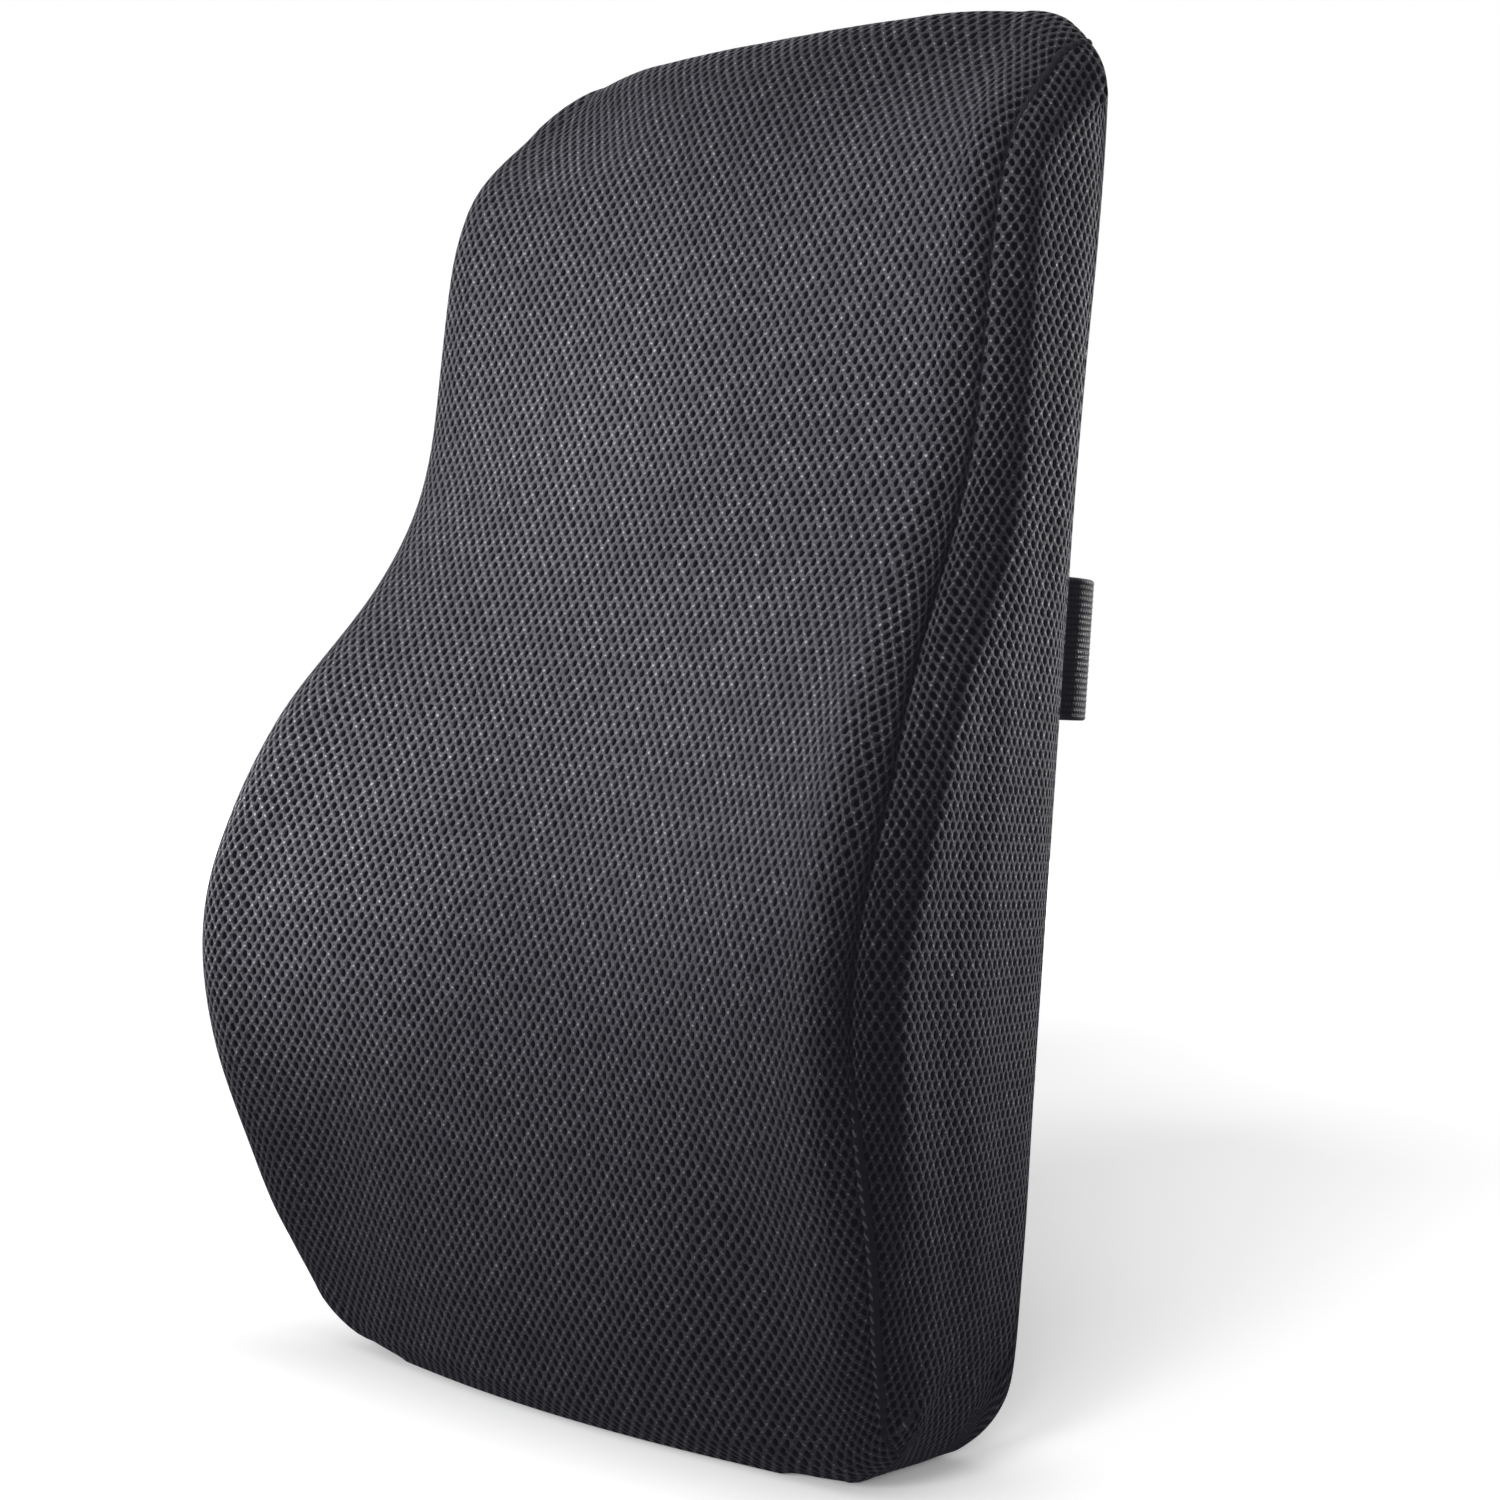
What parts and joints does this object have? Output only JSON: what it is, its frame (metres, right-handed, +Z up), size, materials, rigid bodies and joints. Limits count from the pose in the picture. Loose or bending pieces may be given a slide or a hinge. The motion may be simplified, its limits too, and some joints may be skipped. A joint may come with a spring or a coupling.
{
  "type": "lumbar support cushion",
  "caption": "Tall contoured foam back cushion in a mesh cover with a rear zip and an adjustable elastic chair strap with a side-release buckle.",
  "frame": {"origin": "centre of the flat bottom face the cushion stands on", "axes": "X is the width, the contoured front faces -Y, the flat back faces +Y, Z is up"},
  "size_m": [0.316, 0.1619, 0.45],
  "materials": {
    "foam": "matte",
    "liner": "matte",
    "mesh_front": "matte",
    "mesh_side": "matte",
    "mesh_back": "matte",
    "zip_tape": "matte",
    "zip_teeth": "satin",
    "zip_metal": "satin",
    "webbing": "matte",
    "buckle_plastic": "satin"
  },
  "bodies": {
    "cushion": {"foam_core": "foam", "foam_liner": "liner", "front_panel": "mesh_front", "side_panel_left": "mesh_side", "side_panel_right": "mesh_side", "back_panel_upper": "mesh_back", "back_panel_lower": "mesh_back", "zip_tape_upper": "zip_tape", "zip_tape_lower": "zip_tape", "zip_teeth_upper": "zip_teeth", "zip_teeth_lower": "zip_teeth", "zip_stop_closed_upper": "zip_metal", "zip_stop_closed_lower": "zip_metal", "zip_stop_open": "zip_metal", "strap_right": "webbing", "strap_left": "webbing", "buckle_socket": "buckle_plastic"},
    "slider": {"zip_slider": "zip_metal"},
    "pull": {"zip_pull": "zip_metal"},
    "plug": {"buckle_plug": "buckle_plastic"},
    "prong_upper": {"buckle_prong_upper": "buckle_plastic"},
    "prong_lower": {"buckle_prong_lower": "buckle_plastic"},
    "adjuster": {"strap_adjuster": "buckle_plastic"}
  },
  "joints": [
    {"name": "zip_slide", "type": "slide", "parent": "cushion", "child": "slider", "axis": [-1, 0, 0], "range_m": [0, 0.182], "deforming": ["zip_teeth_upper", "zip_teeth_lower"]},
    {"name": "zip_pull_swing", "type": "hinge", "parent": "slider", "child": "pull", "pos_m": [0.0943, 0.05115, 0.066], "axis": [0, 0, -1], "range_deg": [0, 165]},
    {"name": "plug_release", "type": "slide", "parent": "cushion", "child": "plug", "axis": [-1, 0, 0], "range_m": [0, 0.026], "deforming": ["strap_left", "buckle_prong_upper", "buckle_prong_lower"]},
    {"name": "prong_upper_squeeze", "type": "hinge", "parent": "plug", "child": "prong_upper", "pos_m": [-0.013, 0.0755, 0.273], "axis": [0, 1, 0], "range_deg": [0, 12]},
    {"name": "prong_lower_squeeze", "type": "hinge", "parent": "plug", "child": "prong_lower", "pos_m": [-0.013, 0.0755, 0.233], "axis": [0, -1, 0], "range_deg": [0, 12]},
    {"name": "adjuster_slide", "type": "slide", "parent": "plug", "child": "adjuster", "axis": [1, 0, 0], "range_m": [-0.018, 0.012]}
  ],
  "couplings": [
    {"joint": "prong_lower_squeeze", "follows": "prong_upper_squeeze", "ratio": 1}
  ]
}
